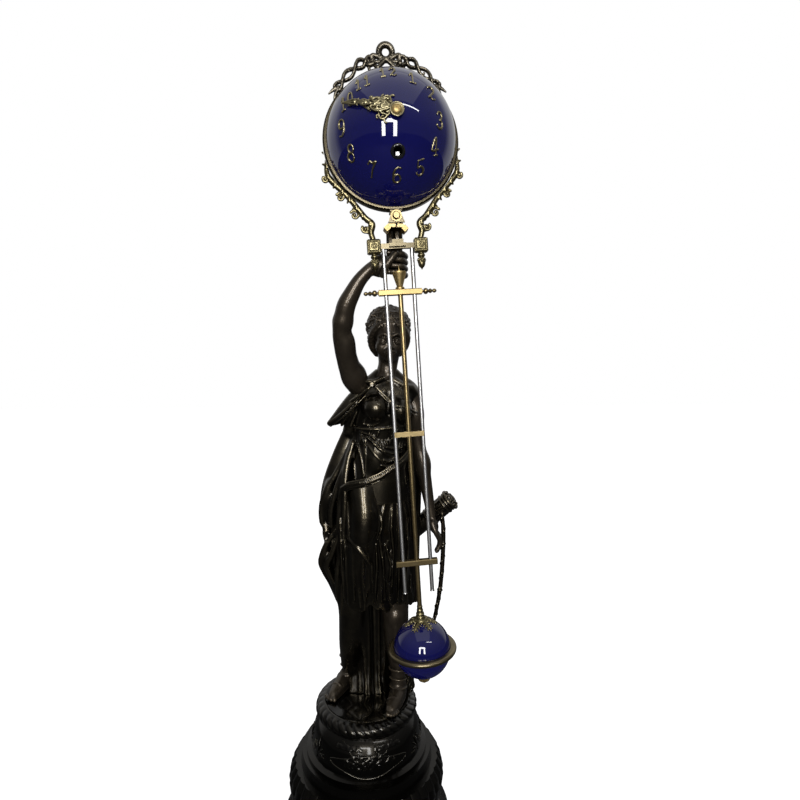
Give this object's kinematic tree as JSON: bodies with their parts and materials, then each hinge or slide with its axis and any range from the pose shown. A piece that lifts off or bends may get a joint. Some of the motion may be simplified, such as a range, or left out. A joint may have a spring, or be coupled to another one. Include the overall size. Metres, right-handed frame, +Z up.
{
  "type": "mystery clock",
  "caption": "Bronze huntress on a domed base holds up a post, and a blue ball dial with a long rod pendulum and a ball bob swings on it from a pin.",
  "frame": {"origin": "centre of the base's underside, on the surface it stands on", "axes": "+Z up; the dial and the figure face -Y; +X is to the right as seen from the front"},
  "size_m": [0.2015, 0.2232, 0.8199],
  "materials": {
    "dark_bronze": "glossy dark patina",
    "antique_brass": "antique, darkened in hollows",
    "satin_brass": "satin",
    "blue_enamel": "high gloss cobalt blue",
    "polished_steel": "polished",
    "blackened_steel": "satin black",
    "black_lacquer": "gloss black",
    "felt": "dark green felt"
  },
  "bodies": {
    "stand": {"fluted_base": "dark_bronze", "base_dome": "dark_bronze", "mound": "dark_bronze", "bottom_plate": "blackened_steel", "felt_disc": "felt", "tie_rod": "blackened_steel", "tree_stump": "dark_bronze", "figure_legs": "dark_bronze", "figure_skirt": "dark_bronze", "figure_bodice": "dark_bronze", "figure_head": "dark_bronze", "raised_arm": "dark_bronze", "lowered_arm": "dark_bronze", "cape": "dark_bronze", "quiver": "dark_bronze", "bow": "dark_bronze", "hand_post": "dark_bronze", "yoke": "antique_brass", "stop_bars": "antique_brass"},
    "swing": {"dial_front_shell": "blue_enamel", "dial_rear_shell": "blue_enamel", "bezel_ring": "antique_brass", "winding_grommet": "black_lacquer", "hanger": "antique_brass", "pivot_pin": "polished_steel", "crest": "antique_brass", "scroll_arm_left": "antique_brass", "scroll_arm_right": "antique_brass", "corner_blocks": "antique_brass", "cross_bar": "satin_brass", "steel_rods": "polished_steel", "upper_bar": "satin_brass", "bar_finials": "satin_brass", "funnel_cup": "satin_brass", "centre_rod": "satin_brass", "middle_bar": "satin_brass", "lower_bar": "satin_brass", "bob_upper_shell": "blue_enamel", "bob_lower_shell": "blue_enamel", "bob_ring": "antique_brass", "leaf_cap": "antique_brass", "movement_front_plate": "satin_brass", "movement_back_plate": "satin_brass", "movement_pillars": "satin_brass"},
    "rating_nut": {"rating_nut": "satin_brass"},
    "centre": {"centre_wheel": "satin_brass", "cannon_pinion": "satin_brass", "minute_hand": "satin_brass", "hub_nut": "satin_brass"},
    "hour": {"hour_wheel": "satin_brass", "hour_hand": "satin_brass"},
    "minute_work": {"minute_wheel": "satin_brass"},
    "third": {"third_wheel": "satin_brass"},
    "escape": {"escape_wheel": "satin_brass"},
    "pallets": {"pallets_and_inner_pendulum": "polished_steel"},
    "barrel": {"mainspring_barrel": "satin_brass", "mainspring": "polished_steel"},
    "winding": {"winding_arbor": "polished_steel"},
    "click": {"click": "polished_steel"}
  },
  "joints": [
    {"name": "swing", "type": "hinge", "parent": "stand", "child": "swing", "pos_m": [0.028, -0.063, 0.6586], "axis": [0, 1, 0], "range_deg": [-2.4, 9.6]},
    {"name": "rating_nut_turn", "type": "hinge", "parent": "swing", "child": "rating_nut", "pos_m": [0.05695, -0.063, 0.19851], "axis": [-0.0628, 0, 0.998], "continuous": true},
    {"name": "centre_turn", "type": "hinge", "parent": "swing", "child": "centre", "pos_m": [0.02361, -0.063, 0.72846], "axis": [0, 1, 0], "continuous": true},
    {"name": "hour_turn", "type": "hinge", "parent": "swing", "child": "hour", "pos_m": [0.02361, -0.063, 0.72846], "axis": [0, 1, 0], "continuous": true},
    {"name": "minute_work_turn", "type": "hinge", "parent": "swing", "child": "minute_work", "pos_m": [0.00963, -0.063, 0.72758], "axis": [0, 1, 0], "continuous": true},
    {"name": "third_turn", "type": "hinge", "parent": "swing", "child": "third", "pos_m": [0.01113, -0.063, 0.74409], "axis": [0, 1, 0], "continuous": true},
    {"name": "escape_turn", "type": "hinge", "parent": "swing", "child": "escape", "pos_m": [0.02638, -0.063, 0.74893], "axis": [0, 1, 0], "continuous": true},
    {"name": "pallets_rock", "type": "hinge", "parent": "swing", "child": "pallets", "pos_m": [0.02559, -0.063, 0.76141], "axis": [0, 1, 0], "range_deg": [-4, 4]},
    {"name": "barrel_turn", "type": "hinge", "parent": "swing", "child": "barrel", "pos_m": [0.02546, -0.063, 0.69902], "axis": [0, 1, 0], "continuous": true},
    {"name": "winding_turn", "type": "hinge", "parent": "swing", "child": "winding", "pos_m": [0.02546, -0.063, 0.69902], "axis": [0, 1, 0], "continuous": true},
    {"name": "click_lift", "type": "hinge", "parent": "swing", "child": "click", "pos_m": [0.03606, -0.063, 0.7057], "axis": [0, 1, 0], "range_deg": [0, 8]}
  ],
  "couplings": [
    {"joint": "hour_turn", "follows": "centre_turn", "ratio": 0.083333},
    {"joint": "minute_work_turn", "follows": "centre_turn", "ratio": -0.33333},
    {"joint": "third_turn", "follows": "centre_turn", "ratio": -9},
    {"joint": "escape_turn", "follows": "centre_turn", "ratio": 81},
    {"joint": "barrel_turn", "follows": "centre_turn", "ratio": -0.16667}
  ]
}
